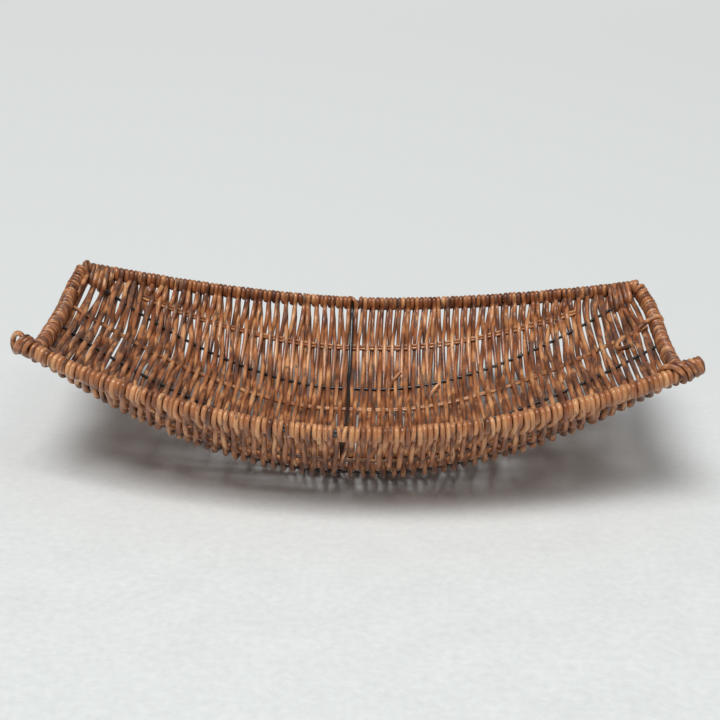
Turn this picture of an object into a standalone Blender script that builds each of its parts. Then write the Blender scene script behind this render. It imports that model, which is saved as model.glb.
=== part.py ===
# Shallow boat shaped basket: vine woven through a frame of steel wires and vine stakes.
# X runs along the basket, Y across it towards the back, Z up. It stands on Z = 0.
import bmesh
import bpy
import math
from mathutils import Vector

# Outline of the frame, through the centres of the wires, in metres
HALF_LENGTH = 0.2325
MID_HALF_WIDTH = 0.143
END_HALF_WIDTH = 0.096
MID_RIM_HEIGHT = 0.0638
END_RIM_HEIGHT = 0.1014
END_FLOOR_HEIGHT = 0.0865
FRONT_TIP_LENGTH = 0.009

# How the outline bends, as shares of the half length or half width, and as powers
FLOOR_FLAT_SHARE = 0.08
FLOOR_POWER = 1.7
SIDE_FLAT_SHARE = 0.37
SIDE_POWER_MID = 1.85
SIDE_POWER_END = 2.65
PLAN_POWER = 2.0
RIM_POWER = 1.8

# Steel wires
RIM_WIRE_DIAMETER = 0.0026
ROD_DIAMETER = 0.0026
WELD_GAP = 0.0003

# Rods and stakes that run the length of the basket: how far out they lie at mid length and
# at the ends, as shares of the rim's half width there. The bottom rod lies in the middle.
SIDE_ROD_MID_SHARE = 0.573
SIDE_ROD_END_SHARE = 0.917
INNER_STAKE_MID_SHARE = 0.385
INNER_STAKE_END_SHARE = 0.5
OUTER_STAKE_MID_SHARE = 0.808
OUTER_STAKE_END_SHARE = 0.969
OUTER_STAKE_HALF_LENGTH = 0.172
CROSS_ROD_X = -0.006

# Vine
STRAND_DIAMETER = 0.0031
STAKE_DIAMETER = 0.0022
LAY_GAP = 0.0003
CROSSING_SLACK = 0.00025
PAIR_SLACK = 0.0006
REST_CUT_DEPTH = 0.0008
STRANDS_PER_SIDE = 6
PASSES_PER_STRAND = 8

# A strand's loop round a rim has four corners. Each is a place along the rim, as a share of
# the pitch from the pass, and a corner outwards (1) or inwards (-1) and up (1) or down (-1).
LEAD_SHARE = 0.375
FRONT_CORNERS = ((-LEAD_SHARE, 1, -1), (-LEAD_SHARE / 3, 1, 1), (LEAD_SHARE / 3, -1, 1), (LEAD_SHARE, -1, -1))
BACK_CORNERS = ((-LEAD_SHARE, -1, -1), (-LEAD_SHARE / 3, -1, 1), (LEAD_SHARE / 3, 1, 1), (LEAD_SHARE, 1, -1))

# Bindings of the ends and corners, wound in loops of six sides
LOOP_SIDES = 6
POINTS_PER_STRETCH = 4
METRES_TO_MILLIMETRES = 1000
BINDING_LOOPS = 18
CORNER_LOOPS_EACH_SIDE = 2
CORNER_PITCH = 0.0041

# Fineness of the frame's curves, and of the wires and vine round their centre lines
WIRE_SIDES = 6
VINE_SIDES = 4
MERGE_DISTANCE = 0.00001
LENGTH_STEPS = 16
END_WIRE_SHARES = (0.0, 0.3, 0.5, 0.64, 0.76, 0.86, 0.94, 1.0)

STRAND_RADIUS = STRAND_DIAMETER / 2
STAKE_RADIUS = STAKE_DIAMETER / 2
ROD_RADIUS = ROD_DIAMETER / 2
RIM_RADIUS = RIM_WIRE_DIAMETER / 2

# The two wires of a rim lie one above the other, this far from their common centre
STACK_HALF = RIM_RADIUS + WELD_GAP / 2

# A loop of vine round the two wires: distance of its centre line from theirs
WRAP = RIM_RADIUS + LAY_GAP + STRAND_RADIUS

# How far a strand's centre line passes from the centre of what it crosses
ROD_LIFT = ROD_RADIUS + LAY_GAP + CROSSING_SLACK + STRAND_RADIUS
STAKE_LIFT = STAKE_RADIUS + LAY_GAP + PAIR_SLACK + STRAND_RADIUS
STAKE_SPREAD = STAKE_DIAMETER + LAY_GAP

# The lowest strands are cut flat where the basket stands
BASE_HEIGHT = ROD_LIFT + STRAND_RADIUS - REST_CUT_DEPTH

# The first pass beside the cross rod, and the last one inboard of the corner binding
PASS_FROM_ROD = ROD_RADIUS + LAY_GAP + STRAND_RADIUS + 2 * CROSSING_SLACK
CORNER_INNER_X = HALF_LENGTH - RIM_RADIUS - LAY_GAP - STRAND_RADIUS
CORNER_OUTER_X = HALF_LENGTH + RIM_RADIUS + LAY_GAP + STRAND_RADIUS
LAST_PASS_X = CORNER_INNER_X - CORNER_LOOPS_EACH_SIDE * CORNER_PITCH

VINE_COLOR = (0.42, 0.20, 0.09, 1.0)
STAKE_COLOR = (0.50, 0.26, 0.12, 1.0)
BINDING_COLOR = (0.46, 0.22, 0.10, 1.0)
STEEL_COLOR = (0.03, 0.03, 0.035, 1.0)


def clear_scene():
    for obj in list(bpy.data.objects):
        bpy.data.objects.remove(obj, do_unlink=True)


def make_material(name, color, roughness, metallic):
    material = bpy.data.materials.new(name)
    material.use_nodes = True
    shader = material.node_tree.nodes["Principled BSDF"]
    shader.inputs["Base Color"].default_value = color
    shader.inputs["Roughness"].default_value = roughness
    shader.inputs["Metallic"].default_value = metallic
    return material


def rise(share, flat_share, power):
    # Nothing over the flat share, then a smooth climb to 1
    run = max(0.0, (share - flat_share) / (1.0 - flat_share))
    return run ** power


def length_share(x):
    return abs(x) / HALF_LENGTH


def rim_half_width(x):
    return MID_HALF_WIDTH + (END_HALF_WIDTH - MID_HALF_WIDTH) * length_share(x) ** PLAN_POWER


def surface_height(x, width_share):
    share = length_share(x)
    rim = MID_RIM_HEIGHT + (END_RIM_HEIGHT - MID_RIM_HEIGHT) * share ** RIM_POWER
    floor = END_FLOOR_HEIGHT * rise(share, FLOOR_FLAT_SHARE, FLOOR_POWER)
    power = SIDE_POWER_MID + (SIDE_POWER_END - SIDE_POWER_MID) * share ** PLAN_POWER
    climb = rise(abs(width_share), SIDE_FLAT_SHARE, power)
    return BASE_HEIGHT + floor + (rim - floor) * climb


def surface_point(x, y):
    return Vector((x, y, surface_height(x, y / rim_half_width(x))))


def line_between(mid_y, end_y, x):
    return mid_y + (end_y - mid_y) * length_share(x) ** PLAN_POWER


def end_climb():
    # How steeply the floor climbs at the ends, as the sine of its angle
    run = ROD_DIAMETER
    climb = surface_height(HALF_LENGTH, 0) - surface_height(HALF_LENGTH - run, 0)
    return climb / math.hypot(run, climb)


def station_places(half_length):
    # Evenly spaced stations along the frame, with the line's own two ends
    step = 2 * HALF_LENGTH / LENGTH_STEPS
    places = [-HALF_LENGTH + step * i for i in range(LENGTH_STEPS + 1)]
    inner = [x for x in places if abs(x) < half_length - STRAND_DIAMETER]
    return [-half_length] + inner + [half_length]


def long_line(side, mid_y, end_y, half_length):
    # One line of the frame along the basket, as straight stretches between stations
    return [surface_point(x, side * line_between(mid_y, end_y, x)) for x in station_places(half_length)]


def point_on(line, axis, value):
    # The point of a polyline at a place along X or Y, and the line's direction there
    for start, end in zip(line, line[1:]):
        if value <= end[axis]:
            break
    share = (value - start[axis]) / (end[axis] - start[axis])
    return start.lerp(end, share), (end - start).normalized()


def stacked_pair(line, axis):
    # Two wires, one above the other, along a line
    upper = []
    lower = []
    for i, place in enumerate(line):
        ahead = line[min(i + 1, len(line) - 1)]
        behind = line[max(i - 1, 0)]
        along = (ahead - behind).normalized()
        side = along.cross(Vector((0, 0, 1))).normalized()
        up = side.cross(along)
        upper.append(place + up * STACK_HALF)
        lower.append(place - up * STACK_HALF)
    return upper, lower


def beside_pair(pair, axis, value, outward, out_by, up_by):
    # A point beside a stacked pair, in the plane that cuts the pair at this place along X or Y.
    # The wires slant through that plane, so the distances from them grow with the slant.
    upper, along = point_on(pair[0], axis, value)
    lower = point_on(pair[1], axis, value)[0]
    slant = 1 / abs(along[axis])
    half = (upper - lower).length / 2
    centre = (upper + lower) / 2
    if up_by == 0:
        return centre + outward * (out_by * slant)
    height = half + abs(up_by) * slant
    return centre + outward * (out_by * slant) + Vector((0, 0, math.copysign(height, up_by)))


def tube(name, points, radius, sides, material, collection):
    # A round wire or vine
    curve = bpy.data.curves.new(name, "CURVE")
    curve.dimensions = "3D"
    curve.bevel_depth = radius
    curve.bevel_resolution = sides // 2 - 2
    curve.use_fill_caps = True
    spline = curve.splines.new("POLY")
    spline.points.add(len(points) - 1)
    for spot, place in zip(spline.points, points):
        spot.co = (place.x, place.y, place.z, 1)
    spline.use_smooth = True
    curve.materials.append(material)
    obj = bpy.data.objects.new(name, curve)
    collection.objects.link(obj)
    return obj


def make_frame():
    # The front rim has tips past the end wires, and the back rim ends flush with them
    frame = {}
    for name, side, tip in (("front", -1, FRONT_TIP_LENGTH), ("back", 1, RIM_RADIUS)):
        rim = long_line(side, MID_HALF_WIDTH, END_HALF_WIDTH, HALF_LENGTH)
        lean = (rim[-1] - rim[-2]).normalized() * tip
        rim.append(rim[-1] + lean)
        rim.insert(0, rim[0] + Vector((-lean.x, lean.y, lean.z)))
        frame[name] = stacked_pair(rim, 0)
    # Both wires slant where they meet, so the end wires stop a radius short of a square butt
    reach = END_HALF_WIDTH - 2 * RIM_RADIUS - WELD_GAP
    shares = [-share for share in reversed(END_WIRE_SHARES[1:])] + list(END_WIRE_SHARES)
    for name, side in (("left", -1), ("right", 1)):
        end = []
        for share in shares:
            height = surface_height(HALF_LENGTH, share)
            end.append(Vector((side * HALF_LENGTH, reach * share, height)))
        frame[name] = stacked_pair(end, 1)
    return frame


def make_lines():
    # Rods and stakes from the back rim to the front rim, with the lift that a crossing needs
    rod_reach = HALF_LENGTH - RIM_RADIUS - WELD_GAP - ROD_RADIUS * end_climb()
    stake_reach = HALF_LENGTH - WRAP - STRAND_RADIUS - LAY_GAP
    outer = (OUTER_STAKE_MID_SHARE, OUTER_STAKE_END_SHARE, OUTER_STAKE_HALF_LENGTH)
    side_rod = (SIDE_ROD_MID_SHARE, SIDE_ROD_END_SHARE, rod_reach)
    inner = (INNER_STAKE_MID_SHARE, INNER_STAKE_END_SHARE, stake_reach)
    bottom = (0, 0, rod_reach)
    table = [("stake_back_outer", 1, outer, STAKE_LIFT), ("rod_back", 1, side_rod, ROD_LIFT),
             ("stake_back_inner", 1, inner, STAKE_LIFT), ("rod_bottom", 1, bottom, ROD_LIFT),
             ("stake_front_inner", -1, inner, STAKE_LIFT), ("rod_front", -1, side_rod, ROD_LIFT),
             ("stake_front_outer", -1, outer, STAKE_LIFT)]
    lines = []
    for name, side, (mid_share, end_share, reach), lift in table:
        points = long_line(side, MID_HALF_WIDTH * mid_share, END_HALF_WIDTH * end_share, reach)
        lines.append({"name": name, "points": points, "reach": reach, "lift": lift})
    return lines


def surface_up(x, y):
    # The way out of the surface towards the inside of the basket
    step = STRAND_DIAMETER
    along = surface_point(x + step, y) - surface_point(x - step, y)
    across = surface_point(x, y + step) - surface_point(x, y - step)
    return along.cross(across).normalized()


def crossing(line, x, side):
    # Where a strand passes over (1) or under (-1) a rod or stake
    place = point_on(line["points"], 0, x)[0]
    return place + surface_up(x, place.y) * (line["lift"] * side)


def pass_points(lines, x, first_side):
    # One run of a strand from the back rim to the front rim, over and under in turn
    points = []
    side = first_side
    for line in lines:
        if abs(x) < line["reach"] - STRAND_DIAMETER:
            points.append(crossing(line, x, side))
        side = -side
    return points


def strand_path(frame, lines, first_x, pitch):
    # Up inside the front rim, across, one and a half turns round the back rim, and back under
    def loop(rim, x):
        outward = Vector((0, 1 if rim == "back" else -1, 0))
        corners = BACK_CORNERS if rim == "back" else FRONT_CORNERS
        return [beside_pair(frame[rim], 0, x + share * pitch, outward, WRAP * out, WRAP * up)
                for share, out, up in corners]

    path = []
    for i in range(0, PASSES_PER_STRAND, 2):
        inside_x = first_x + i * pitch
        outside_x = inside_x + pitch
        path += loop("front", inside_x)[:-1]
        path += reversed(pass_points(lines, inside_x, -1))
        path += loop("back", inside_x)[1:] + loop("back", outside_x)
        path += pass_points(lines, outside_x, 1)
        path += loop("front", outside_x)
    return path


def winding_path(pair, axis, places, outward):
    # Loops round a pair of wires. Each loop moves on along its outer face.
    corner_angle = math.pi / LOOP_SIDES
    shoulder = WRAP * math.tan(corner_angle)
    crown = WRAP / math.cos(corner_angle)
    path = []
    for i, place in enumerate(places):
        following = places[min(i + 1, len(places) - 1)]
        step = (following - place) / 3
        corners = [(place, -WRAP, -shoulder), (place, -WRAP, shoulder), (place, 0, crown)]
        if i + 1 < len(places):
            corners += [(place + step, WRAP, shoulder), (following - step, WRAP, -shoulder)]
            corners += [(following, 0, -crown)]
        for value, out_by, up_by in corners:
            path.append(beside_pair(pair, axis, value, outward, out_by, up_by))
    return path


def least_self_gap(path):
    # The least space between a winding's neighbouring loops, over points along every stretch
    points = []
    for start, end in zip(path, path[1:]):
        points += [start.lerp(end, i / POINTS_PER_STRETCH) for i in range(POINTS_PER_STRETCH)]
    half_loop = POINTS_PER_STRETCH * LOOP_SIDES // 2
    least = math.inf
    for i, place in enumerate(points):
        for other in points[i + half_loop:i + 3 * half_loop]:
            least = min(least, (other - place).length)
    return least - STRAND_DIAMETER


def make_bindings(frame, material, collection):
    gaps = []
    # Two windings on each end, one on each side of the bottom rod
    start = ROD_RADIUS + LAY_GAP + STRAND_RADIUS + CROSSING_SLACK
    stop = END_HALF_WIDTH * SIDE_ROD_END_SHARE - start
    pitch = (stop - start) / (BINDING_LOOPS - 1)
    for end, end_side in (("left", -1), ("right", 1)):
        for half, half_side in (("front", -1), ("back", 1)):
            places = [half_side * (start + pitch * i) for i in range(BINDING_LOOPS)]
            path = winding_path(frame[end], 1, places, Vector((end_side, 0, 0)))
            gaps.append(least_self_gap(path))
            tube(f"end_binding_{end}_{half}", path, STRAND_RADIUS, VINE_SIDES, material, collection)
    # A lashing at each corner: loops inboard of the end wires, and in front round the tips too
    back_off = CORNER_PITCH * (CORNER_LOOPS_EACH_SIDE - 1)
    inner = [CORNER_INNER_X - back_off + CORNER_PITCH * i for i in range(CORNER_LOOPS_EACH_SIDE)]
    outer = [CORNER_OUTER_X + CORNER_PITCH * i for i in range(CORNER_LOOPS_EACH_SIDE)]
    for end, end_side in (("left", -1), ("right", 1)):
        for half, half_side, loops in (("front", -1, inner + outer), ("back", 1, inner)):
            places = [end_side * x for x in loops]
            path = winding_path(frame[half], 0, places, Vector((0, half_side, 0)))
            gaps.append(least_self_gap(path))
            tube(f"corner_binding_{half}_{end}", path, STRAND_RADIUS, VINE_SIDES, material, collection)
    print("least gap of a winding to itself, mm:", round(METRES_TO_MILLIMETRES * min(gaps), 2))


def make_lengthwise(lines, steel, stake, collection):
    for line in lines:
        if line["name"].startswith("rod"):
            tube(line["name"], line["points"], ROD_RADIUS, WIRE_SIDES, steel, collection)
            continue
        for number, shift in ((1, -STAKE_SPREAD / 2), (2, STAKE_SPREAD / 2)):
            points = []
            for place in line["points"]:
                step = STRAND_DIAMETER
                across = surface_point(place.x, place.y + step) - surface_point(place.x, place.y - step)
                points.append(place + across.normalized() * shift)
            tube(f"{line['name']}_{number}", points, STAKE_RADIUS, VINE_SIDES, stake, collection)


def make_cross_rod(frame, lines, steel, collection):
    # It lies on the rods inside the basket, and its ends stand against the rims' inner faces
    lift = 2 * ROD_RADIUS + WELD_GAP
    stand_off = RIM_RADIUS + WELD_GAP + ROD_RADIUS
    ends = {}
    for name, side in (("back", 1), ("front", -1)):
        outward = Vector((0, side, 0))
        ends[name] = [beside_pair(frame[name], 0, CROSS_ROD_X, outward, -stand_off, level)
                      for level in (RIM_RADIUS, -RIM_RADIUS)]
    path = list(ends["back"])
    for line in lines:
        place = point_on(line["points"], 0, CROSS_ROD_X)[0]
        path.append(place + surface_up(place.x, place.y) * lift)
    path += reversed(ends["front"])
    tube("cross_rod", path, ROD_RADIUS, WIRE_SIDES, steel, collection)


def as_mesh(obj, collection):
    # A curve that is to be cut becomes a closed mesh of the same name
    name = obj.name
    depsgraph = bpy.context.evaluated_depsgraph_get()
    mesh = bpy.data.meshes.new_from_object(obj.evaluated_get(depsgraph))
    place = obj.matrix_world.copy()
    bpy.data.objects.remove(obj, do_unlink=True)
    shape = bmesh.new()
    shape.from_mesh(mesh)
    bmesh.ops.remove_doubles(shape, verts=shape.verts, dist=MERGE_DISTANCE)
    shape.to_mesh(mesh)
    shape.free()
    mesh.name = name
    solid = bpy.data.objects.new(name, mesh)
    solid.matrix_world = place
    collection.objects.link(solid)
    return solid


def make_floor_cutter(collection):
    depth = STRAND_DIAMETER
    bpy.ops.mesh.primitive_cube_add(size=1, location=(0, 0, -depth / 2))
    cutter = bpy.context.object
    cutter.name = "resting_plane_cutter"
    cutter.scale = (2 * HALF_LENGTH, 2 * MID_HALF_WIDTH, depth)
    bpy.ops.object.transform_apply(location=False, rotation=False, scale=True)
    cutter.hide_render = True
    cutter.display_type = "WIRE"
    for home in list(cutter.users_collection):
        home.objects.unlink(cutter)
    collection.objects.link(cutter)
    return cutter


def make_strands(frame, lines, material, collection, cutter):
    number = 0
    for side in (-1, 1):
        first = CROSS_ROD_X + side * PASS_FROM_ROD
        passes = STRANDS_PER_SIDE * PASSES_PER_STRAND
        room = abs(side * LAST_PASS_X - first)
        pitch = room / (passes - 1 + 2 * LEAD_SHARE)
        first += side * pitch * LEAD_SHARE
        for i in range(STRANDS_PER_SIDE):
            number += 1
            start_x = first + side * pitch * PASSES_PER_STRAND * i
            path = strand_path(frame, lines, start_x, side * pitch)
            strand = tube(f"weaving_strand_{number:02d}", path, STRAND_RADIUS, VINE_SIDES, material, collection)
            if min(place.z for place in path) < STRAND_RADIUS:
                strand = as_mesh(strand, collection)
                cut = strand.modifiers.new("flat where it stands", "BOOLEAN")
                cut.operation = "DIFFERENCE"
                cut.object = cutter


def build():
    clear_scene()
    basket = bpy.data.collections.new("woven_basket")
    cutters = bpy.data.collections.new("cutters")
    bpy.context.scene.collection.children.link(basket)
    bpy.context.scene.collection.children.link(cutters)
    steel = make_material("black_steel", STEEL_COLOR, 0.35, 0.6)
    vine = make_material("weaving_vine", VINE_COLOR, 0.4, 0.0)
    stake = make_material("stake_vine", STAKE_COLOR, 0.45, 0.0)
    binding = make_material("binding_vine", BINDING_COLOR, 0.4, 0.0)
    frame = make_frame()
    lines = make_lines()
    for name in ("front", "back"):
        for level, wire in zip(("upper", "lower"), frame[name]):
            tube(f"rim_wire_{name}_{level}", wire, RIM_RADIUS, WIRE_SIDES, steel, basket)
    for name in ("left", "right"):
        for level, wire in zip(("upper", "lower"), frame[name]):
            tube(f"end_wire_{name}_{level}", wire, RIM_RADIUS, WIRE_SIDES, steel, basket)
    make_lengthwise(lines, steel, stake, basket)
    make_cross_rod(frame, lines, steel, basket)
    make_bindings(frame, binding, basket)
    cutter = make_floor_cutter(cutters)
    make_strands(frame, lines, vine, basket, cutter)


build()
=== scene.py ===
# Shallow woven basket: lacquered vine over a frame of black steel wire.
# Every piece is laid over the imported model, in metres, X along the basket and Z up.
import math
import random
from functools import partial
import bpy
import numpy as np
from mathutils import Matrix, Vector


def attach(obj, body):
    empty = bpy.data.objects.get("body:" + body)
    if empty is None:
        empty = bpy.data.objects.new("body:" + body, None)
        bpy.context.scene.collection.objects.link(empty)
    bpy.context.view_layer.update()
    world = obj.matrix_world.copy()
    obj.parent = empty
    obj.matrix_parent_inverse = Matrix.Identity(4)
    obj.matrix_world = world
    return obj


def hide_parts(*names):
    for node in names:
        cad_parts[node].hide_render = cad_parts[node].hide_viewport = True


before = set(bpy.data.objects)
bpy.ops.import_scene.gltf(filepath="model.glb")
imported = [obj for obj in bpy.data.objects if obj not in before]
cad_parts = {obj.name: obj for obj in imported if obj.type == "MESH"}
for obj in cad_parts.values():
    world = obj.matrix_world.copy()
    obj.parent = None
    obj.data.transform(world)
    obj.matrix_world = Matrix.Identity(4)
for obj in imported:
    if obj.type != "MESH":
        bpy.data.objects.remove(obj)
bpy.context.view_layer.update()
print("stage: packed model loaded")

# The curved surface that the basket is woven on, through the centres of its wires
bowl = {
    "halfLength": 0.2325,
    "midHalfWidth": 0.143, "endHalfWidth": 0.096,
    "midRimHeight": 0.0638, "endRimHeight": 0.1014,
    "endFloorHeight": 0.0865, "floorFlat": 0.08, "floorPower": 1.7,
    "sideFlat": 0.37, "sidePowerMid": 1.85, "sidePowerEnd": 2.65,
    "planPower": 2.0, "rimPower": 1.8,
    "baseHeight": 0.00415,
    # How far each end stands out of a straight line, at places across it in millimetres
    "bendPower": 8.0, "bendPlaces": [-96, -60, -30, 0, 30, 55, 75, 88, 96],
    "leftBend": [-4.8, -4.4, -3.4, -2.6, -0.9, 1.4, 1.1, -1.4, -3.6],
    "rightBend": [0.0, 0.0, 0.3, 1.5, 4.0, 5.4, 4.8, 0.5, -3.3],
}


def rise(share, flat, power):
    return max(0.0, (share - flat) / (1 - flat)) ** power


def rimHalfWidth(x):
    share = abs(x) / bowl["halfLength"]
    return bowl["midHalfWidth"] + (bowl["endHalfWidth"] - bowl["midHalfWidth"]) * share ** bowl["planPower"]


def surfacePoint(x, y):
    share = abs(x) / bowl["halfLength"]
    rim = bowl["midRimHeight"] + (bowl["endRimHeight"] - bowl["midRimHeight"]) * share ** bowl["rimPower"]
    floor = bowl["endFloorHeight"] * rise(share, bowl["floorFlat"], bowl["floorPower"])
    power = bowl["sidePowerMid"] + (bowl["sidePowerEnd"] - bowl["sidePowerMid"]) * share ** bowl["planPower"]
    climb = rise(abs(y) / rimHalfWidth(x), bowl["sideFlat"], power)
    bend = np.interp(y * 1000, bowl["bendPlaces"], bowl["leftBend" if x < 0 else "rightBend"]) / 1000
    out = float(bend) * share ** bowl["bendPower"]
    return Vector((x + math.copysign(1, x) * out, y, bowl["baseHeight"] + floor + (rim - floor) * climb))


def surfaceUp(x, y):
    # The way out of the surface, towards the inside of the basket
    step = 0.002
    along = surfacePoint(x + step, y) - surfacePoint(x - step, y)
    across = surfacePoint(x, y + step) - surfacePoint(x, y - step)
    return along.cross(across).normalized()


def overSurface(x, y, lift):
    return surfacePoint(x, y) + surfaceUp(x, y) * lift


def rimPoint(side, x):
    # Middle of a rim's two wires. Past the ends the wires run straight on.
    end = bowl["halfLength"]
    if abs(x) <= end:
        return surfacePoint(x, side * rimHalfWidth(x))
    inner = math.copysign(end - 0.006, x)
    outer = math.copysign(end, x)
    a = surfacePoint(inner, side * rimHalfWidth(inner))
    b = surfacePoint(outer, side * rimHalfWidth(outer))
    return b + (b - a) * ((x - outer) / (outer - inner))


def endPoint(side, y):
    # Middle of the two wires across an end
    return surfacePoint(side * bowl["halfLength"], y)


def wireFrame(pointAt, place, outwardHint):
    # Centre of a pair of wires, and the ways along it, outwards and up, square to each other
    step = 0.001
    centre = pointAt(place)
    along = (pointAt(place + step) - pointAt(place - step)).normalized()
    outward = along.cross(Vector((0, 0, 1))).normalized()
    if outward.dot(outwardHint) < 0:
        outward = -outward
    up = along.cross(outward).normalized()
    if up.z < 0:
        up = -up
    return centre, along, outward, up


def whichWire(angle):
    # 1 beside the upper wire of a pair, -1 beside the lower one, and between them on the way across
    return max(-1.0, min(1.0, 3.0 * math.sin(angle)))


# Small helpers for round pieces that follow a line
def smoothLine(keys, step):
    # A smooth line through the key points, with points about a step apart
    keys = np.array([tuple(key) for key in keys])
    gaps = np.linalg.norm(np.diff(keys, axis=0), axis=1)
    keys = keys[np.concatenate(([True], gaps > 1e-6))]
    gaps = np.linalg.norm(np.diff(keys, axis=0), axis=1)
    run = np.concatenate(([0], np.cumsum(gaps)))
    slopes = np.gradient(keys, run, axis=0)
    points = []
    for i, gap in enumerate(gaps):
        count = max(1, math.ceil(gap / step - 0.25))
        t = (np.arange(count) / count)[:, None]
        points.append((2 * t ** 3 - 3 * t ** 2 + 1) * keys[i] + (t ** 3 - 2 * t ** 2 + t) * gap * slopes[i]
                      + (3 * t ** 2 - 2 * t ** 3) * keys[i + 1] + (t ** 3 - t ** 2) * gap * slopes[i + 1])
    points.append(keys[-1:])
    return np.concatenate(points)


def lengthAlong(points):
    return np.concatenate(([0], np.cumsum(np.linalg.norm(np.diff(points, axis=0), axis=1))))


def roundPiece(name, points, radii, sides, firstMillimetre=0.0, marks=None):
    # A path is added, takes the line's points and thickness, and becomes a closed mesh.
    # Its UV map holds millimetres along it and the share of a turn round it, or 2 on a cut end.
    # The marks, in a second map, say how far each point counts as a loop of the front rim.
    bpy.ops.object.select_all(action="DESELECT")
    bpy.ops.curve.primitive_nurbs_path_add()
    obj = bpy.context.object
    obj.name = name
    obj.location = (0, 0, 0)
    curve = obj.data
    curve.splines.clear()
    curve.dimensions = "3D"
    curve.bevel_depth = 1.0
    curve.bevel_resolution = sides // 2 - 2
    curve.use_fill_caps = True
    spline = curve.splines.new("POLY")
    spline.points.add(len(points) - 1)
    spline.points.foreach_set("co", np.column_stack((points, np.ones(len(points)))).ravel())
    spline.points.foreach_set("radius", np.full(len(points), radii, dtype=float))
    spline.use_smooth = True
    bpy.ops.object.convert(target="MESH")
    mesh = obj.data
    starts = np.empty(len(mesh.polygons), dtype=int)
    totals = np.empty(len(mesh.polygons), dtype=int)
    mesh.polygons.foreach_get("loop_start", starts)
    mesh.polygons.foreach_get("loop_total", totals)
    layer = mesh.uv_layers[0]
    layer.name = "alongVine"
    places = np.empty(2 * len(mesh.loops))
    layer.data.foreach_get("uv", places)
    places = places.reshape(-1, 2)
    numbers = np.arange(len(points))
    lengths = lengthAlong(points) * 1000
    along = np.interp(places[:, 0] * numbers[-1], numbers, lengths)
    around = places[:, 1].copy()
    capFaces = np.where(totals == 3)[0]
    for i, face in enumerate(capFaces):
        corners = slice(starts[face], starts[face] + 3)
        along[corners] = 0 if i < len(capFaces) / 2 else lengths[-1]
        around[corners] = 2
    layer.data.foreach_set("uv", np.column_stack((along + firstMillimetre, around)).ravel())
    if marks is not None:
        marked = np.interp(places[:, 0] * numbers[-1], numbers, marks)
        mesh.uv_layers.new(name="onFrontRim").data.foreach_set("uv", np.repeat(marked, 2))
    bpy.ops.object.mode_set(mode="EDIT")
    bpy.ops.mesh.select_all(action="SELECT")
    bpy.ops.mesh.remove_doubles(threshold=1e-6)
    bpy.ops.mesh.normals_make_consistent(inside=False)
    bpy.ops.object.mode_set(mode="OBJECT")
    bpy.ops.object.shade_smooth_by_angle(angle=math.radians(50))
    return obj


def joined(name, parts):
    # Several round pieces as one object
    bpy.ops.object.select_all(action="DESELECT")
    for part in parts:
        part.select_set(True)
    bpy.context.view_layer.objects.active = parts[0]
    if len(parts) > 1:
        bpy.ops.object.join()
    parts[0].name = name
    return parts[0]


def finishPiece(piece, material, slotName, *nodes):
    piece.data.materials.clear()
    piece.data.materials.append(material)
    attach(piece, "root")
    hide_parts(*nodes)


# Materials
class Value:
    # A shader socket that takes part in sums
    def __init__(self, finish, socket):
        self.finish = finish
        self.socket = socket

    def math(self, operation, first, second):
        return self.finish.node("Math", {"operation": operation}, {0: first, 1: second})

    def __add__(self, other):
        return self.math("ADD", self, other)

    def __radd__(self, other):
        return self.math("ADD", other, self)

    def __sub__(self, other):
        return self.math("SUBTRACT", self, other)

    def __rsub__(self, other):
        return self.math("SUBTRACT", other, self)

    def __mul__(self, other):
        return self.math("MULTIPLY", self, other)

    def __rmul__(self, other):
        return self.math("MULTIPLY", other, self)

    def __truediv__(self, other):
        return self.math("DIVIDE", self, other)

    def __rtruediv__(self, other):
        return self.math("DIVIDE", other, self)

    def __gt__(self, other):
        return self.math("GREATER_THAN", self, other)


class Finish:
    # One material and its nodes
    def __init__(self, name):
        self.material = bpy.data.materials.new(name)
        self.material.use_nodes = True
        self.tree = self.material.node_tree
        self.shader = self.tree.nodes["Principled BSDF"]

    def node(self, kind, settings=None, inputs=None, output=0):
        made = self.tree.nodes.new("ShaderNode" + kind)
        for key, value in (settings or {}).items():
            if key == "stops":
                ramp = made.color_ramp
                while len(ramp.elements) > 1:
                    ramp.elements.remove(ramp.elements[-1])
                for i, (place, color) in enumerate(value):
                    stop = ramp.elements[0] if i == 0 else ramp.elements.new(place)
                    stop.position = place
                    stop.color = color
            else:
                setattr(made, key, value)
        for key, value in (inputs or {}).items():
            self.feed(made.inputs[key], value)
        return Value(self, made.outputs[output])

    def feed(self, socket, value):
        if isinstance(value, Value):
            self.tree.links.new(value.socket, socket)
        else:
            socket.default_value = value

    def set(self, values):
        for key, value in values.items():
            self.feed(self.shader.inputs[key], value)

    def noise(self, vector, scale, detail, roughness=0.5):
        return self.node("TexNoise", {"noise_dimensions": "3D"},
                         {"Vector": vector, "Scale": scale, "Detail": detail, "Roughness": roughness})

    def steps(self, value, stops):
        return self.node("ValToRGB", {"stops": stops}, {0: value})

    def mixColor(self, factor, first, second, blend="MIX"):
        return self.node("Mix", {"data_type": "RGBA", "blend_type": blend},
                         {0: factor, 6: first, 7: second}, output=2)


def grey(level):
    return (level, level, level, 1)


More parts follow.
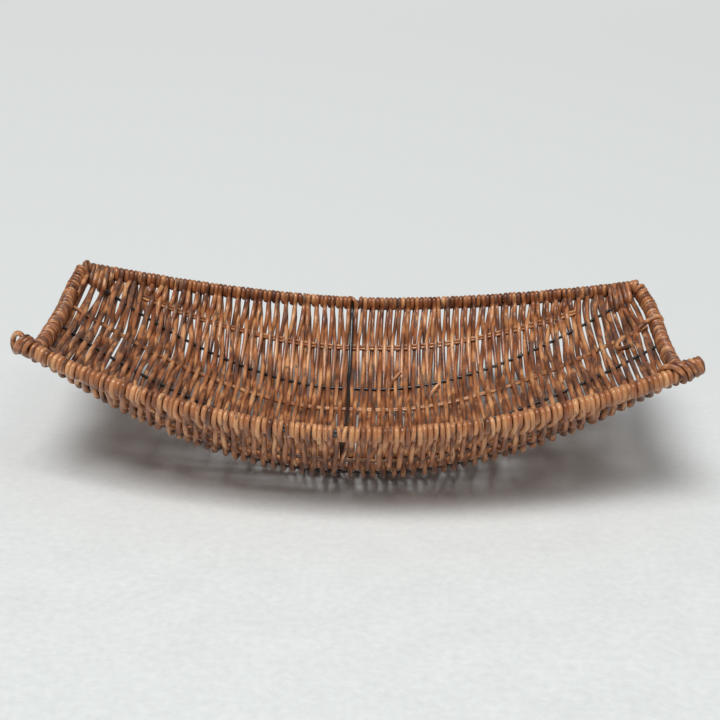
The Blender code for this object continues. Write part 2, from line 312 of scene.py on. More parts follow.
def vineFinish(name, look):
    # Lacquered vine: wood colours along it, bark left in patches, fine grain and a clear coat
    vine = Finish(name)
    uv = vine.node("UVMap", {"uv_map": "alongVine"})
    along = vine.node("SeparateXYZ", None, {0: uv}, output=0)
    around = vine.node("SeparateXYZ", None, {0: uv}, output=1)
    turn = around * (2 * math.pi)
    across = vine.node("Math", {"operation": "COSINE"}, {0: turn})
    depth = vine.node("Math", {"operation": "SINE"}, {0: turn})

    def pattern(name):
        # A noise as long and as wide as the look says, the same where the turn closes
        length, width, shift, detail, roughness = look[name]
        place = vine.node("CombineXYZ", None, {0: along / length + (look["shift"] + shift),
                                               1: across * width, 2: depth * width})
        return vine.noise(place, 1.0, detail, roughness)

    onRim = vine.node("SeparateXYZ", None, {0: vine.node("UVMap", {"uv_map": "onFrontRim"})})
    # On the front rim the tone is shifted paler: partly polish, partly painted light standing in for its
    # highlights
    wood = vine.steps(pattern("tonePattern") + onRim * look["rimPolishAndPaintedLight"], look["wood"])
    wood = vine.mixColor(vine.steps(pattern("warmPattern"), look["warmSteps"]), wood, look["warm"])
    alongBasket = vine.node("SeparateXYZ", None, {0: vine.node("TexCoord", output=3)})
    fromMiddle = vine.node("Math", {"operation": "ABSOLUTE"}, {0: alongBasket})
    moreBark = vine.node("MapRange", {"clamp": True}, {0: fromMiddle, 1: look["endsFrom"], 2: look["endsTo"],
                                                       3: 0.0, 4: look["endsDarker"]})
    # Less bark on the front rim, as part of its polish and painted light; more bark towards the ends
    shade = pattern("barkPattern") + moreBark * (1 - onRim) - onRim * look["rimLessBark"]
    bark = vine.steps(shade, [(look["barkFrom"], grey(0)), (look["barkFrom"] + look["barkBlend"], grey(1))])
    grain = pattern("grainPattern")
    speckle = pattern("specklePattern")
    barkColor = vine.mixColor(grain, look["bark"], look["barkPale"])
    color = vine.mixColor(bark * look["barkCover"], wood, barkColor)
    color = vine.mixColor(1.0, color, vine.steps(grain, look["streaks"]), "MULTIPLY")
    cutEnd = around > 1.5
    color = vine.mixColor(cutEnd, color, look["cut"])
    height = grain * 0.7 + speckle * 0.25 + bark * 0.25
    bump = vine.node("Bump", None, {"Strength": 0.35, "Distance": 0.0004, "Height": height})
    vine.set({"Base Color": color, "Roughness": look["roughness"] + bark * 0.16 + speckle * 0.10,
              "Specular IOR Level": look["specular"], "Coat Weight": look["coat"] - bark * 0.45,
              "Coat Roughness": look["coatRoughness"], "Normal": bump})
    return vine.material


vineLook = {
    # Each pattern: its length along the vine in millimetres, width, place, detail and roughness
    "tonePattern": (34.0, 0.12, 0, 2.0, 0.55), "warmPattern": (23.0, 0.35, 40, 3.0, 0.5),
    "barkPattern": (13.0, 0.55, 90, 3.0, 0.6), "grainPattern": (9.0, 2.6, 7, 4.0, 0.65),
    "specklePattern": (0.9, 4.0, 3, 2.0, 0.5),
    "shift": 0.0,
    "wood": [(0.34, (0.070, 0.022, 0.010, 1)), (0.44, (0.230, 0.078, 0.028, 1)),
             (0.52, (0.500, 0.195, 0.072, 1)), (0.61, (0.760, 0.380, 0.165, 1))],
    "warm": (0.38, 0.112, 0.038, 1), "warmSteps": [(0.44, grey(0)), (0.66, grey(0.6))],
    "streaks": [(0.30, grey(0.62)), (0.48, grey(0.95)), (0.62, grey(1.0)), (0.78, grey(1.18))],
    "bark": (0.055, 0.028, 0.022, 1), "barkPale": (0.220, 0.122, 0.092, 1),
    "barkFrom": 0.56, "barkBlend": 0.06, "barkCover": 0.85,
    "cut": (0.34, 0.20, 0.11, 1),
    "roughness": 0.42, "specular": 0.16, "coat": 0.90, "coatRoughness": 0.18,
    # The front rim's loops are painted paler, with less bark: partly polish, partly painted light that
    # stands in for their highlights. The weave near the ends has more bark.
    "rimPolishAndPaintedLight": 0.045, "rimLessBark": 0.03, "endsDarker": 0.055, "endsFrom": 0.10, "endsTo": 0.21,
}
stakeLook = dict(vineLook, shift=300.0, barkFrom=0.64, tonePattern=(40.0, 0.12, 0, 2.0, 0.55),
                 wood=[(0.38, (0.300, 0.105, 0.038, 1)), (0.50, (0.560, 0.240, 0.092, 1)),
                       (0.62, (0.800, 0.430, 0.190, 1))])
bindingLook = dict(vineLook, shift=700.0, barkFrom=0.60, tonePattern=(13.0, 0.12, 0, 2.0, 0.55),
                   barkPattern=(16.0, 0.55, 90, 3.0, 0.6))
weavingVine = vineFinish("lacqueredVine", vineLook)
stakeVine = vineFinish("lacqueredStake", stakeLook)
# A copy of the stake finish with more bark, painted darker as shade for the stakes of the front half
shadedStakeVine = vineFinish("barkStakePaintedShade", dict(stakeLook, shift=500.0, barkFrom=0.40))
bindingVine = vineFinish("lacqueredBinding", bindingLook)

steelFinish = Finish("blackSteel")
steelPlace = steelFinish.node("TexCoord", output=3)
steelWear = steelFinish.noise(steelPlace, 700.0, 3.0)
steelStops = [(0.35, (0.006, 0.006, 0.006, 1)), (0.75, (0.016, 0.015, 0.015, 1))]
steelBump = steelFinish.node("Bump", None, {"Strength": 0.2, "Distance": 0.0002, "Height": steelWear})
steelFinish.set({"Base Color": steelFinish.steps(steelWear, steelStops),
                 "Roughness": steelWear * 0.20 + 0.14, "Specular IOR Level": 0.7, "Normal": steelBump})
blackSteel = steelFinish.material
print("stage: materials")

# Steel: two wires in each rim and each end, three rods lengthwise and one across
steel = {
    "wireRadius": 0.0013, "stackHalf": 0.00145, "rodRadius": 0.0012,
    "frontTip": 0.0055, "backTip": 0.0004, "endWireShort": 0.0028,
    "crossRadius": 0.0016, "crossX": -0.006, "crossLift": 0.0029, "crossStand": 0.0029,
    "crossReach": 0.131, "crossEndHalf": 0.0013, "crossStep": 0.004,
    "step": 0.006, "sides": 14,
}


def stackedWires(pieceName, nodeName, pointAt, places, outwardHint):
    for levelName, level in (("upper", 1), ("lower", -1)):
        keys = []
        for place in places:
            centre, _, _, up = wireFrame(pointAt, place, outwardHint)
            keys.append(centre + up * (steel["stackHalf"] * level))
        points = smoothLine(keys, steel["step"])
        wire = roundPiece(f"{pieceName}_{levelName}", points, steel["wireRadius"], steel["sides"])
        finishPiece(wire, blackSteel, "black_steel", f"{nodeName}_{levelName}")


for rimName, side in (("front", -1), ("back", 1)):
    reach = bowl["halfLength"] + steel[rimName + "Tip"]
    places = np.linspace(-reach, reach, 81)
    stackedWires("rimCore_" + rimName, "rim_wire_" + rimName, partial(rimPoint, side), places,
                 Vector((0, side, 0)))
for endName, side in (("left", -1), ("right", 1)):
    places = np.linspace(-1, 1, 41) * (bowl["endHalfWidth"] - steel["endWireShort"])
    stackedWires("endCore_" + endName, "end_wire_" + endName, partial(endPoint, side), places,
                 Vector((side, 0, 0)))

# Rods and stakes, from the back rim to the front rim: side, place at mid length and at the ends as
# shares of the rim's half width, and how far they reach
lengthwise = [
    {"name": "stake_back_outer", "kind": "stake", "side": 1, "mid": 0.808, "end": 0.969, "reach": 0.184},
    {"name": "rod_back", "kind": "rod", "side": 1, "mid": 0.573, "end": 0.955, "reach": 0.2301},
    {"name": "stake_back_inner", "kind": "stake", "side": 1, "mid": 0.385, "end": 0.5, "reach": 0.2275},
    {"name": "rod_bottom", "kind": "rod", "side": 1, "mid": 0.0, "end": 0.0, "reach": 0.2301},
    {"name": "stake_front_inner", "kind": "stake", "side": -1, "mid": 0.385, "end": 0.5, "reach": 0.2275},
    {"name": "rod_front", "kind": "rod", "side": -1, "mid": 0.573, "end": 0.955, "reach": 0.2301},
    {"name": "stake_front_outer", "kind": "stake", "side": -1, "mid": 0.808, "end": 0.969, "reach": 0.172},
]


def lineY(line, x):
    share = (abs(x) / bowl["halfLength"]) ** bowl["planPower"]
    mid = bowl["midHalfWidth"] * line["mid"]
    end = bowl["endHalfWidth"] * line["end"]
    return line["side"] * (mid + (end - mid) * share)


def linePoint(line, x):
    return surfacePoint(x, lineY(line, x))


for line in lengthwise:
    if line["kind"] == "rod":
        places = np.linspace(-line["reach"], line["reach"], 81)
        points = smoothLine([linePoint(line, x) for x in places], steel["step"])
        rod = roundPiece("steelRod_" + line["name"][4:], points, steel["rodRadius"], steel["sides"])
        finishPiece(rod, blackSteel, "black_steel", line["name"])

crossKeys = []
for side in (1, -1):
    centre, _, outward, up = wireFrame(partial(rimPoint, side), steel["crossX"], Vector((0, side, 0)))
    ends = (steel["crossEndHalf"], 0.0, -steel["crossEndHalf"])
    stand = [centre - outward * steel["crossStand"] + up * level for level in ends]
    if side == 1:
        crossKeys += stand
        for y in np.linspace(steel["crossReach"], -steel["crossReach"], 33):
            crossKeys.append(overSurface(steel["crossX"], y, steel["crossLift"]))
    else:
        crossKeys += reversed(stand)
crossPoints = smoothLine(crossKeys, steel["crossStep"])
crossRod = roundPiece("steelRod_across", crossPoints, steel["crossRadius"], steel["sides"])
finishPiece(crossRod, blackSteel, "black_steel", "cross_rod")
print("stage: steel frame")

# Stakes: two vines side by side along each line, not quite even
stakes = {"radius": 0.00122, "spread": 0.00270, "wander": 0.00025,
          "keySpacing": 0.005, "step": 0.004, "sides": 12, "patternStep": 531}


def stakeLine(line, offset, seed):
    # The points and thickness of one stake, set off from the line's middle
    chance = random.Random(seed)
    phases = [chance.uniform(0, 6.28) for _ in range(4)]
    points = []
    for x in np.arange(-line["reach"], line["reach"], stakes["keySpacing"]).tolist() + [line["reach"]]:
        place = linePoint(line, x)
        up = surfaceUp(x, place.y)
        across = up.cross(Vector((1, 0, 0))).normalized()
        sway = stakes["wander"] * (math.sin(x * 61 + phases[0]) + 0.5 * math.sin(x * 173 + phases[1]))
        lift = 0.4 * stakes["wander"] * math.sin(x * 90 + phases[2])
        points.append(place + across * (offset + sway) + up * lift)
    points = smoothLine(points, stakes["step"])
    run = lengthAlong(points)
    radii = stakes["radius"] * (1 + 0.06 * np.sin(run * 55 + phases[3]) + 0.04 * np.sin(run * 140))
    return points, radii


for index, line in enumerate(lengthwise):
    if line["kind"] == "rod":
        continue
    for number, shift in ((1, -0.5), (2, 0.5)):
        seed = index * 10 + number
        name = line["name"] + "_" + str(number)
        points, radii = stakeLine(line, shift * stakes["spread"], seed)
        stake = roundPiece("vine_" + name, points, radii, stakes["sides"], seed * stakes["patternStep"])
        # The front stakes take the copy painted darker as shade, the back ones the lit finish
        finish = shadedStakeVine if line["side"] < 0 else stakeVine
        finishPiece(stake, finish, "stake_vine", name)
print("stage: stakes")

# The weave: each strand runs to and fro between the rims, and winds round them
weave = {
    "radius": 0.00187, "thickerFrom": 0.08, "thickerTo": 0.16, "thicker": 0.10, "pressed": 0.98,
    "step": 0.0032, "sides": 12, "patternStep": 4000,
    # Passes: how many a strand makes, where they lie and how they rise, stray and lean
    "passesLeft": [10, 10, 10, 12, 12, 12], "passesRight": [10, 10, 12, 12, 12, 12],
    "fromCross": 0.0034, "lastX": 0.2254, "keySpacing": 0.011, "pastLineEnd": 0.003,
    "rodLift": 0.00305, "stakeLift": 0.00290, "lean": 0.00038, "moveBack": 0.42,
    "sideways": 0.00040, "sidewaysEnds": 0.8, "pull": {-1: [0.0, 0.0022], 1: [0.0034, 0.0022]},
    "edge": 0.011, "edgeEnds": 0.0075, "edgeEndsFrom": 0.169,
    "edgeLift": {"back": 0.0023, "front": 0.0009}, "edgeShare": 0.7, "edgeShareEnds": 0.25,
    "endsFrom": 0.06, "endsOver": 0.07,
    # Loops round the rims. The shares are of the step from one loop to the next.
    "wrap": 0.0027, "stackHalf": 0.0012, "loopDegrees": 20, "loopSizes": (-0.03, 0.05),
    "loopPlaces": [0.0, 0.10, 0.17, 0.23], "loopPitch": [0.00378, 0.00380, 0.00375, 0.00360],
    "loopStep": 0.0037, "ahead": 0.3, "startShare": 0.4, "lastShare": 0.5, "inShare": 0.08, "outShare": 0.06,
    "leave": {-1: [0.75, 0.30], 1: [0.35, 0.25]},
    "loopJitter": 0.00022, "towardsCross": {-1: 0.0024, 1: 0.0}, "crossOver": 0.03,
    "firstFrontShifts": {-1: [0.0012, -0.0006, 0.0, 0.0], 1: [-0.0007]},
    "overCrossX": -0.0088, "overCrossBack": 0.0008, "overCrossSize": 1.2,
    "deepFrom": 0.2085, "deepOver": 0.003, "markedFrom": 0.0062, "markedOver": 0.002,
}


def evenPlaces(fromX, toX, count):
    # Places along X, evenly spaced along the floor of the basket
    xs = np.linspace(fromX, toX, 400)
    run = lengthAlong(np.array([tuple(surfacePoint(x, 0)) for x in xs]))
    return np.interp(np.linspace(0, run[-1], count), run, xs)


def loopPlaces(fromX, sideX):
    # Places of the loops round a rim, from the cross rod to the end
    places = [fromX * sideX]
    while places[-1] < weave["lastX"]:
        places.append(places[-1] + float(np.interp(places[-1], weave["loopPlaces"], weave["loopPitch"])))
    places = np.array(places)
    stretch = (weave["lastX"] - places[0]) / (places[-1] - places[0])
    return fromX + sideX * (places - places[0]) * stretch


def sharedOut(places, edges, sideX):
    # The loops of each turn: those that come before the next turn's first pass
    owner = np.searchsorted(np.array(edges) * sideX, places * sideX)
    return [[float(place) for place in places[owner == turn]] for turn in range(len(edges) + 1)]


def deepness(side, x):
    # Beside the back corners a loop takes in the side rod too
    return max(0.0, min(1.0, (abs(x) - weave["deepFrom"]) / weave["deepOver"])) if side > 0 else 0.0


def loopRoundRim(side, places, fromDegrees, toDegrees, size):
    # Keys of a winding round a rim's two wires. 0 is its inner face, 90 the top, 180 the outer face.
    # The places give where along the rim it has come at each angle.
    keys = []
    count = max(2, round(abs(toDegrees - fromDegrees) / weave["loopDegrees"]) + 1)
    angles, xs = zip(*sorted(places))
    for degrees in np.linspace(fromDegrees, toDegrees, count):
        x = float(np.interp(degrees, angles, xs))
        centre, _, outward, up = wireFrame(partial(rimPoint, side), x, Vector((0, side, 0)))
        angle = math.radians(degrees)
        way = up * math.sin(angle) - outward * math.cos(angle)
        stack = up * (weave["stackHalf"] * whichWire(angle))
        key = centre + way * (weave["wrap"] * size) + stack
        deep = deepness(side, x)
        if deep > 0:
            toRod = linePoint(lengthwise[1], x) - centre
            share = deep * max(0.0, min(1.0, 0.5 + 1.5 * way.dot(toRod.normalized())))
            key += (toRod - stack + way * (weave["rodLift"] - weave["wrap"])) * share
        keys.append(key)
    return keys


def towardsEnd(x):
    # 0 in the middle of the basket, 1 towards its ends
    return float(np.clip((abs(x) - weave["endsFrom"]) / weave["endsOver"], 0, 1))


def passKeys(x, backX, frontX, kind, chance, pull):
    # One run from the back rim to the front rim: over and under the rods and stakes in turn. What lies
    # outside leans away from the cross rod, and what lies inside towards it. The pull is for the front.
    sideX = math.copysign(1, x - steel["crossX"])
    sideways = weave["sideways"] * (1 + weave["sidewaysEnds"] * towardsEnd(x))
    knots = []
    side = -kind
    for line in lengthwise:
        if abs(x) < line["reach"] - weave["pastLineEnd"]:
            y = lineY(line, x)
            lift = weave[line["kind"] + "Lift"]
            shift = chance.gauss(0, sideways) - sideX * side * weave["lean"]
            shift -= weave["moveBack"] * lift * side * surfaceUp(x, y).x
            pulled = pull if side < 0 and y <= 0 else 0
            knots.append((y, lift * side, shift - sideX * pulled))
        side = -side
    edge = rimHalfWidth(x) - weave["edge" if abs(x) < weave["edgeEndsFrom"] else "edgeEnds"]
    if deepness(1, x) == 0:
        lift = weave["edgeLift"]["back"]
        shift = (backX - x) * (weave["edgeShare"] - weave["edgeShareEnds"] * towardsEnd(x))
        shift -= weave["moveBack"] * lift * kind * surfaceUp(x, edge).x
        knots.insert(0, (edge, lift * kind, shift))
    elif kind > 0:
        knots.pop(0)
    knots.append((-edge, weave["edgeLift"]["front"] * kind, (frontX - x) * weave["edgeShare"]))
    keys = []
    for (yA, liftA, shiftA), (yB, liftB, shiftB) in zip(knots, knots[1:]):
        count = max(1, round(abs(yB - yA) / weave["keySpacing"]))
        for i in range(count):
            t = i / count
            ease = (1 - math.cos(math.pi * t)) / 2
            here = x + shiftA + (shiftB - shiftA) * ease
            keys.append(overSurface(here, yA + (yB - yA) * t, liftA + (liftB - liftA) * ease))
    keys.append(overSurface(x + shiftB, yB, liftB))
    return keys


def strandKeys(sideX, xs, passes, loops, chance):
    # Even passes run to the back rim on the inside. Between two passes a strand makes one or two
    # loops round the rim.
    leaves = weave["leave"][sideX]
    step = weave["loopStep"] * sideX
    ahead, late, early = (step * weave[share] for share in ("ahead", "inShare", "outShare"))
    frontX = loops["front"][passes[0] // 2][-1]
    start = frontX - step * weave["startShare"]
    keys = loopRoundRim(-1, [(-385, frontX + ahead), (-270, frontX), (-105, start)], -105, -385, 1)
    frontX += ahead
    for k in passes[::2]:
        size = 1 + chance.uniform(*weave["loopSizes"])
        backX, secondX = loops["back"][k // 2][0], loops["back"][k // 2][-1]
        pulls = weave["pull"][sideX] if k == 0 else (0.0, 0.0)
        keys += reversed(passKeys(xs[k], backX, frontX, 1, chance, pulls[0]))
        outX = secondX + step * (leaves[0] + (leaves[1] - leaves[0]) * towardsEnd(xs[k]))
        if backX == secondX:
            keys += loopRoundRim(1, [(-25, backX), (90, backX), (205, outX)], -25, 205, size)
        else:
            places = [(-25, backX), (100, backX), (180, backX + late), (360, secondX - early),
                      (450, secondX), (565, outX)]
            if k == 0 and sideX == 1:
                # The first loop beside the cross rod leans over its end
                over = weave["overCrossX"]
                places[1:3] = [(25, backX - weave["overCrossBack"]), (110, over), (180, over),
                               (270, (over + secondX) / 2)]
                size = weave["overCrossSize"]
            keys += loopRoundRim(1, places, -25, 565, size)
        size = 1 + chance.uniform(*weave["loopSizes"])
        turn = loops["front"][k // 2 + 1]
        frontX, secondX = turn[0], turn[-1]
        last = k == passes[-2]
        tucked = last and len(turn) == 1 and k + 2 < len(xs)
        if tucked:
            frontX -= step * weave["lastShare"]
        keys += passKeys(xs[k + 1], outX, frontX, -1, chance, pulls[1])
        if last:
            places = [(-100, frontX + step * weave["lastShare"]), (0, frontX), (235, frontX)]
            keys += loopRoundRim(-1, places, 235, 215 if tucked else -100, size)
        elif frontX == secondX:
            keys += loopRoundRim(-1, [(205, frontX), (90, frontX), (-25, frontX + ahead)], 205, -25, size)
            frontX += ahead
        else:
            places = [(205, frontX), (90, frontX), (0, frontX + late), (-180, secondX - early),
                      (-270, secondX), (-385, secondX + ahead)]
            keys += loopRoundRim(-1, places, 205, -385, size)
            frontX = secondX + ahead
    return keys


def strandRadii(points, chance):
    # Thickness wavers along a vine, and swells a little at its nodes
    run = lengthAlong(points)
    phases = [chance.uniform(0, 6.28) for _ in range(4)]
    radii = 1 + 0.06 * np.sin(run * 13 + phases[3]) + 0.05 * np.sin(run * 31 + phases[0])
    radii += np.interp(np.abs(points[:, 0]), [weave["thickerFrom"], weave["thickerTo"]],
                       [0, weave["thicker"]])
    finer = 0.03 * np.sin(run * 77 + phases[1])
    finest = 0.02 * np.sin(run * 190 + phases[2])
    return weave["radius"] * (radii + finer + finest)


def frontRimMarks(points):
    # 1 for what winds round the front rim, 0 for what lies in the wall
    halfWidths = np.array([rimHalfWidth(min(abs(x), bowl["halfLength"])) for x in points[:, 0]])
    return np.clip((weave["markedFrom"] - (halfWidths + points[:, 1])) / weave["markedOver"], 0, 1)


def restOn(points, radii):
    # The lowest passes are pressed flat against what the basket stands on
    points[:, 2] = np.maximum(points[:, 2], radii * weave["pressed"])
    return points


def settledLoops(sideX, xs):
    # The loops round both rims on one side of the cross rod, moved a little from their even places
    places = loopPlaces(xs[0], sideX)
    loops = {"back": sharedOut(places, (xs[1:-1:2] + xs[2::2]) / 2, sideX),
             "front": sharedOut(places, (xs[::2] + xs[1::2]) / 2, sideX)}
    chance = random.Random(40 + sideX)
    frontShifts = list(weave["firstFrontShifts"][sideX])
    for rim in ("back", "front"):
        for turn in loops[rim]:
            for i, place in enumerate(turn):
                turn[i] += chance.gauss(0, weave["loopJitter"])
                if rim == "back":
                    fromEnds = min(abs(place - steel["crossX"]), weave["lastX"] - abs(place))
                    turn[i] += weave["towardsCross"][sideX] * min(1.0, fromEnds / weave["crossOver"])
                elif frontShifts:
                    turn[i] += frontShifts.pop(0)
    return loops


# Ends of vines that stand out of the weave: place along, place across and height over the surface
looseEnds = {
    "thinner": 0.92, "step": 0.002, "patternShift": 3000,
    7: [(0.0275, 0.0800, -0.0020), (0.0285, 0.0835, 0.0010), (0.0311, 0.0870, 0.0036),
        (0.0345, 0.0900, 0.0052), (0.0377, 0.0928, 0.0064)],
    8: [(0.0600, 0.0620, -0.0020), (0.0612, 0.0660, 0.0010), (0.0637, 0.0693, 0.0036),
        (0.0672, 0.0721, 0.0052), (0.0704, 0.0746, 0.0064)],
    12: [(0.2150, 0.0480, 0.0000), (0.2108, 0.0390, 0.0044), (0.2068, 0.0297, 0.0056),
         (0.2060, 0.0200, 0.0060), (0.2078, 0.0150, 0.0060), (0.2112, 0.0130, 0.0060),
         (0.2146, 0.0118, 0.0060)],
}

number = 0
for sideX, counts in ((-1, weave["passesLeft"]), (1, weave["passesRight"])):
    xs = evenPlaces(steel["crossX"] + sideX * weave["fromCross"], sideX * weave["lastX"], sum(counts))
    loops = settledLoops(sideX, xs)
    first = 0
    for count in counts:
        number += 1
        name = f"vineStrand_{number:02d}"
        chance = random.Random(500 + number)
        points = smoothLine(strandKeys(sideX, xs, range(first, first + count), loops, chance), weave["step"])
        radii = strandRadii(points, chance)
        marks = frontRimMarks(points)
        firstMillimetre = number * weave["patternStep"]
        strand = roundPiece(name, restOn(points, radii), radii, weave["sides"], firstMillimetre, marks)
        if number in looseEnds:
            points = smoothLine([overSurface(*key) for key in looseEnds[number]], looseEnds["step"])
            end = roundPiece("vineEnd", points, weave["radius"] * looseEnds["thinner"], weave["sides"],
                             firstMillimetre + looseEnds["patternShift"], np.zeros(len(points)))
            strand = joined(name, [strand, end])
        finishPiece(strand, weavingVine, "weaving_vine", f"weaving_strand_{number:02d}")
        first += count
print("stage: weave")

# Bindings of the ends: vine wound tight round the end wires
binding = {
    "radius": 0.00180, "wrap": 0.0037, "turns": 25, "from": 0.0018, "to": 0.0955,
    "placeJitter": 0.00025, "sizeJitter": 0.025, "wave": 47,
    "step": 0.002, "sides": 12, "keysPerTurn": 18, "patternStep": 900,
    # The vine's end that leaves the right bar, round it and then into the weave
    "tie": [(0.0440, 150, 0.0046), (0.0430, 110, 0.0058), (0.0418, 75, 0.0064), (0.0405, 40, 0.0068)],
    "tuck": [(0.2258, 0.0398, 0.0066), (0.2225, 0.0388, 0.0056), (0.2195, 0.0375, 0.0030),
             (0.2170, 0.0362, -0.0010)],
    "tieRadius": 0.0021, "tiePattern": 9500,
}


def besideWires(pointAt, outwardHint, place, angle, size):
    # A point beside a pair of wires. The angle is 0 inwards, a quarter turn up, half a turn outwards.
    centre, _, outward, up = wireFrame(pointAt, place, outwardHint)
    stack = whichWire(angle) * steel["stackHalf"]
    return centre - outward * (size * math.cos(angle)) + up * (size * math.sin(angle) + stack)


def winding(pointAt, outwardHint, turns):
    # Keys of a winding round a pair of wires. Each turn has a place, a size, and how far its bottom
    # leans along the wires and its inner side stands out along them.
    keys = []
    turns = np.array(turns)
    for i in range((len(turns) - 1) * binding["keysPerTurn"] + 1):
        share = i / binding["keysPerTurn"]
        angle = 2 * math.pi * share
        place, size, lean, spread = (float(np.interp(share, np.arange(len(turns)), column))
                                     for column in turns.T)
        place += -lean * math.sin(angle) / 2 + spread * max(0.0, math.cos(angle))
        keys.append(besideWires(pointAt, outwardHint, place, angle, size))
    return keys


def vineAlong(name, keys, look, firstMillimetre):
    # A vine through the keys, whose thickness wavers
    points = smoothLine(keys, look["step"])
    radii = look["radius"] * (1 + 0.06 * np.sin(lengthAlong(points) * look["wave"]))
    return roundPiece(name, points, radii, look["sides"], firstMillimetre)


for endName, endSide in (("left", -1), ("right", 1)):
    pointAt = partial(endPoint, endSide)
    outwardHint = Vector((endSide, 0, 0))
    for halfName, halfSide in (("front", -1), ("back", 1)):
        ys = np.linspace(binding["from"], binding["to"], 200) * halfSide
        run = lengthAlong(np.array([tuple(pointAt(y)) for y in ys]))
        chance = random.Random(f"{endName}{halfName}")
        places = np.interp(np.linspace(0, run[-1], binding["turns"] + 1), run, ys)
        turns = [(place + chance.gauss(0, binding["placeJitter"]),
                  binding["wrap"] * (1 + chance.gauss(0, binding["sizeJitter"])), 0, 0) for place in places]
        name = f"endWinding_{endName}_{halfName}"
        piece = vineAlong(name, winding(pointAt, outwardHint, turns), binding,
                          binding["patternStep"] * (endSide + 2 * halfSide + 3))
        if (endName, halfName) == ("right", "back"):
            keys = [besideWires(pointAt, outwardHint, y, math.radians(degrees), size)
                    for y, degrees, size in binding["tie"]]
            keys += [overSurface(*key) for key in binding["tuck"]]
            end = roundPiece("vineEnd", smoothLine(keys, binding["step"]), binding["tieRadius"],
                             binding["sides"], binding["tiePattern"])
            piece = joined(name, [piece, end])
        finishPiece(piece, bindingVine, "binding_vine", f"end_binding_{endName}_{halfName}")

# Lashings of the corners: inboard of the end wires, and in front also round the tips.
# Each turn in millimetres: how far out along the rim, its size, lean and spread
lashing = {
    "radius": 0.00192, "thinner": 0.95, "wave": 60, "step": 0.002, "sides": 12, "patternStep": 1700,
    "front_left": [(229.0, 3.2, 0, 0), (232.6, 4.5, 2, 0), (236.0, 5.0, 3.5, 0), (238.2, 4.8, 3.0, 0)],
    # A loose loop instead of the last keys: where it is, its size and how far it turns
    "looseKeys": 6, "looseAt": 0.2390, "looseDegrees": (-75, 166, 15),
    "looseWide": 0.0072, "looseHigh": 0.0078, "looseInward": 0.0022, "looseDown": 0.0016,
    "front_right": [(229.0, 3.0, 0, 0), (232.5, 4.6, 5, 0), (235.6, 4.3, 4, 0),
                    (238.2, 3.6, 2, 0.5), (240.2, 3.4, 1, 1.5), (240.0, 3.0, 0, 1.0)],
    "back_left": [(229.0, 2.9, 0, 0), (231.4, 2.9, -1, 0), (232.4, 2.9, -1, 0)],
    "back_right": [(229.0, 2.9, 0, 0), (231.6, 3.0, -2, 0), (232.8, 2.9, -1, 0)],
    # Two vines over the rim beside it: place in millimetres, degrees and size
    "strapPattern": 9700, "strapPatternStep": 60,
    "straps": [[(212.6, -70, 4.0), (213.6, -30, 6.0), (215.4, 30, 6.4), (218.4, 80, 6.5), (222.0, 125, 6.7),
                (224.4, 165, 6.9), (225.4, 205, 6.4), (225.8, 250, 4.6)],
               [(216.2, -70, 4.0), (217.2, -30, 5.6), (219.2, 30, 6.0), (222.4, 80, 6.3), (226.0, 125, 6.6),
                (228.4, 165, 6.8), (229.4, 205, 6.2), (229.8, 250, 4.4)]],
    # A vine's end inside the wall and past the rim
    "spikePattern": 9100, "spikeX": -0.2283,
    "spikeRun": [(0.068, -0.0010), (0.073, 0.0026), (0.080, 0.0046), (0.086, 0.0056)],
    "spikeTop": [(0.0064, -0.0010), (0.0062, 0.0030), (0.0058, 0.0062), (0.0056, 0.0092)],
}
for halfName, halfSide in (("front", -1), ("back", 1)):
    pointAt = partial(rimPoint, halfSide)
    outwardHint = Vector((0, halfSide, 0))
    for endName, endSide in (("left", -1), ("right", 1)):
        corner = f"{halfName}_{endName}"
        name = "cornerLashing_" + corner
        turns = [(at * endSide / 1000, size / 1000, lean * endSide / 1000, spread * endSide / 1000)
                 for at, size, lean, spread in lashing[corner]]
        keys = winding(pointAt, outwardHint, turns)
        if corner == "front_left":
            # The last turn is a loose loop round the tip's end, from below it to the joint
            centre, along, outward, up = wireFrame(pointAt, lashing["looseAt"] * endSide, outwardHint)
            outAlong = along * math.copysign(1, along.x) * endSide
            keys = keys[:-lashing["looseKeys"]]
            for degrees in range(*lashing["looseDegrees"]):
                out = math.cos(math.radians(degrees))
                high = lashing["looseHigh"] * math.sin(math.radians(degrees)) - lashing["looseDown"]
                keys.append(centre + outAlong * (lashing["looseWide"] * out)
                            - outward * (lashing["looseInward"] * out) + up * high)
        piece = vineAlong(name, keys, lashing, lashing["patternStep"] * (endSide + 2 * halfSide + 3))
        thinRadius = lashing["radius"] * lashing["thinner"]
        if corner == "back_left":
            spikeX = lashing["spikeX"]
            keys = [overSurface(spikeX, y, lift) for y, lift in lashing["spikeRun"]]
            keys += [rimPoint(1, spikeX) + Vector((0, -inBy, upBy)) for inBy, upBy in lashing["spikeTop"]]
            end = roundPiece("vineEnd", smoothLine(keys, lashing["step"]), thinRadius, lashing["sides"],
                             lashing["spikePattern"])
            piece = joined(name, [piece, end])
        if corner == "front_right":
            straps = []
            for strap in lashing["straps"]:
                keys = [besideWires(pointAt, outwardHint, at / 1000, math.radians(degrees), size / 1000)
                        for at, degrees, size in strap]
                firstMillimetre = lashing["strapPattern"] + lashing["strapPatternStep"] * len(straps)
                straps.append(roundPiece("strap", smoothLine(keys, lashing["step"]), thinRadius,
                                         lashing["sides"], firstMillimetre))
            piece = joined(name, [piece] + straps)
        finishPiece(piece, bindingVine, "binding_vine", "corner_binding_" + corner)
print("stage: bindings")

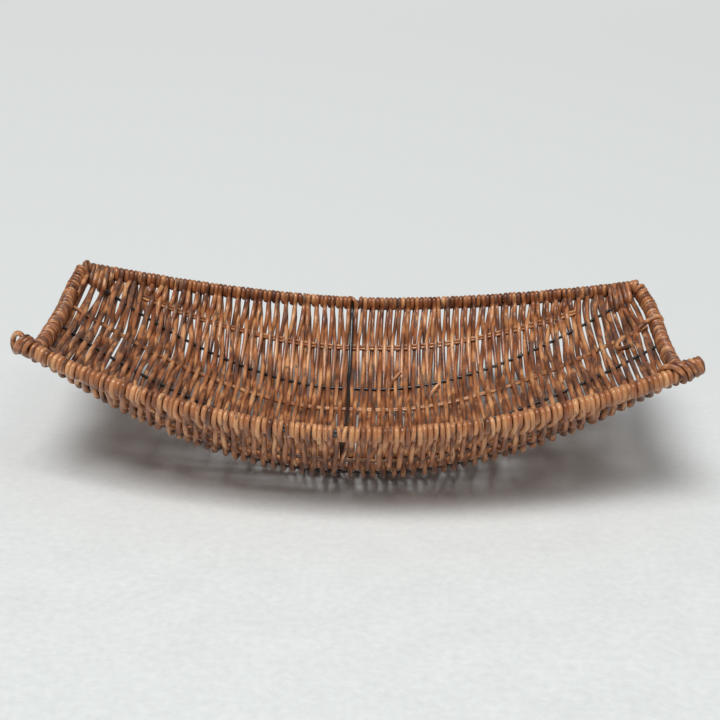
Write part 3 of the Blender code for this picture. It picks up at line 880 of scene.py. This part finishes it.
# Floor, light and camera
studio = {
    "floorSize": 60.0, "floorColor": (0.80, 0.825, 0.815), "lighter": 1.12, "darker": 0.88,
    "tuftScale": 170.0, "lumpScale": 28.0, "pileContrast": 1.4, "blurredFrom": 0.35, "sharpFrom": -0.25,
    "glowFrom": 0.2, "glowTo": 4.0, "farGlow": 0.28,
    "world": 0.20, "worldColor": (0.95, 0.98, 1.0, 1),
    "keyPower": 498.0, "keySize": 4.0, "keyPlace": (-1.3, -3.0, 7.2),
    "fillPower": 50.0, "fillSize": 3.0, "fillPlace": (3.2, -2.0, 6.0), "lightsFace": (0, 0, 0.04),
}
bpy.ops.object.select_all(action="DESELECT")
bpy.ops.mesh.primitive_plane_add(size=studio["floorSize"], location=(0, 0, 0))
floor = bpy.context.object
floor.name = "paleFloor"

# A fleece cloth, whose pile blurs away into the distance
floorFinish = Finish("paleFloor")
floorPlace = floorFinish.node("TexCoord", output=3)
floorY = floorFinish.node("SeparateXYZ", None, {0: floorPlace}, output=1)
nearness = floorFinish.node("MapRange", {"clamp": True},
                            {0: floorY, 1: studio["blurredFrom"], 2: studio["sharpFrom"], 3: 0.0, 4: 1.0})
tufts = floorFinish.noise(floorPlace, studio["tuftScale"], 3.0, 0.6)
lumps = floorFinish.noise(floorPlace, studio["lumpScale"], 2.0)
pile = (tufts * 0.7 + lumps * 0.3 - 0.5) * nearness
lighter, darker = (tuple(c * studio[level] for c in studio["floorColor"]) + (1,)
                   for level in ("lighter", "darker"))
floorColor = floorFinish.mixColor(pile * studio["pileContrast"] + 0.5, darker, lighter)

# Far off, the floor is a lit backdrop to the camera alone
farness = floorFinish.node("MapRange", {"clamp": True},
                           {0: floorY, 1: studio["glowFrom"], 2: studio["glowTo"], 3: 0.0, 4: 1.0})
toCamera = floorFinish.node("LightPath") + floorFinish.node("LightPath", output=3)
glow = farness * toCamera * studio["farGlow"]
floorFinish.set({"Base Color": floorColor, "Roughness": 0.7, "Specular IOR Level": 0.15,
                 "Emission Color": floorFinish.mixColor(glow, (0, 0, 0, 1), (1, 1, 1, 1)),
                 "Emission Strength": 1.0})
floor.data.materials.append(floorFinish.material)

world = bpy.data.worlds.new("studioWorld")
bpy.context.scene.world = world
world.use_nodes = True
world.node_tree.nodes["Background"].inputs[0].default_value = studio["worldColor"]
world.node_tree.nodes["Background"].inputs[1].default_value = studio["world"]


def softLight(name, power, size, place):
    bpy.ops.object.light_add(type="AREA", location=place)
    lamp = bpy.context.object
    lamp.name = name
    lamp.data.energy = power
    lamp.data.size = size
    toBasket = Vector(studio["lightsFace"]) - Vector(place)
    lamp.rotation_euler = toBasket.to_track_quat("-Z", "Y").to_euler()


softLight("keyLight", studio["keyPower"], studio["keySize"], studio["keyPlace"])
softLight("fillLight", studio["fillPower"], studio["fillSize"], studio["fillPlace"])

view = {"distance": 1.0323, "lens": 66.945, "elevation": 20.36, "yaw": -0.578, "roll": 1.8,
        "target": (0.00345, 0.0, 0.0684), "sensor": 36.0, "farthest": 60.0}
elevation = math.radians(view["elevation"])
yaw = math.radians(view["yaw"])
roll = math.radians(view["roll"])
lookAlong = Vector((math.sin(yaw) * math.cos(elevation), math.cos(yaw) * math.cos(elevation),
                    -math.sin(elevation)))
level = Vector((math.cos(yaw), -math.sin(yaw), 0))
upright = level.cross(lookAlong)
cameraRight = level * math.cos(roll) + upright * math.sin(roll)
cameraUp = upright * math.cos(roll) - level * math.sin(roll)
bpy.ops.object.camera_add()
camera = bpy.context.object
camera.data.lens = view["lens"]
camera.data.sensor_width = view["sensor"]
camera.data.clip_end = view["farthest"]
turnTo = Matrix((cameraRight, cameraUp, -lookAlong)).transposed().to_4x4()
camera.matrix_world = Matrix.Translation(Vector(view["target"]) - lookAlong * view["distance"]) @ turnTo
bpy.context.scene.camera = camera
bpy.context.scene.view_settings.view_transform = "Standard"
print("stage: studio")
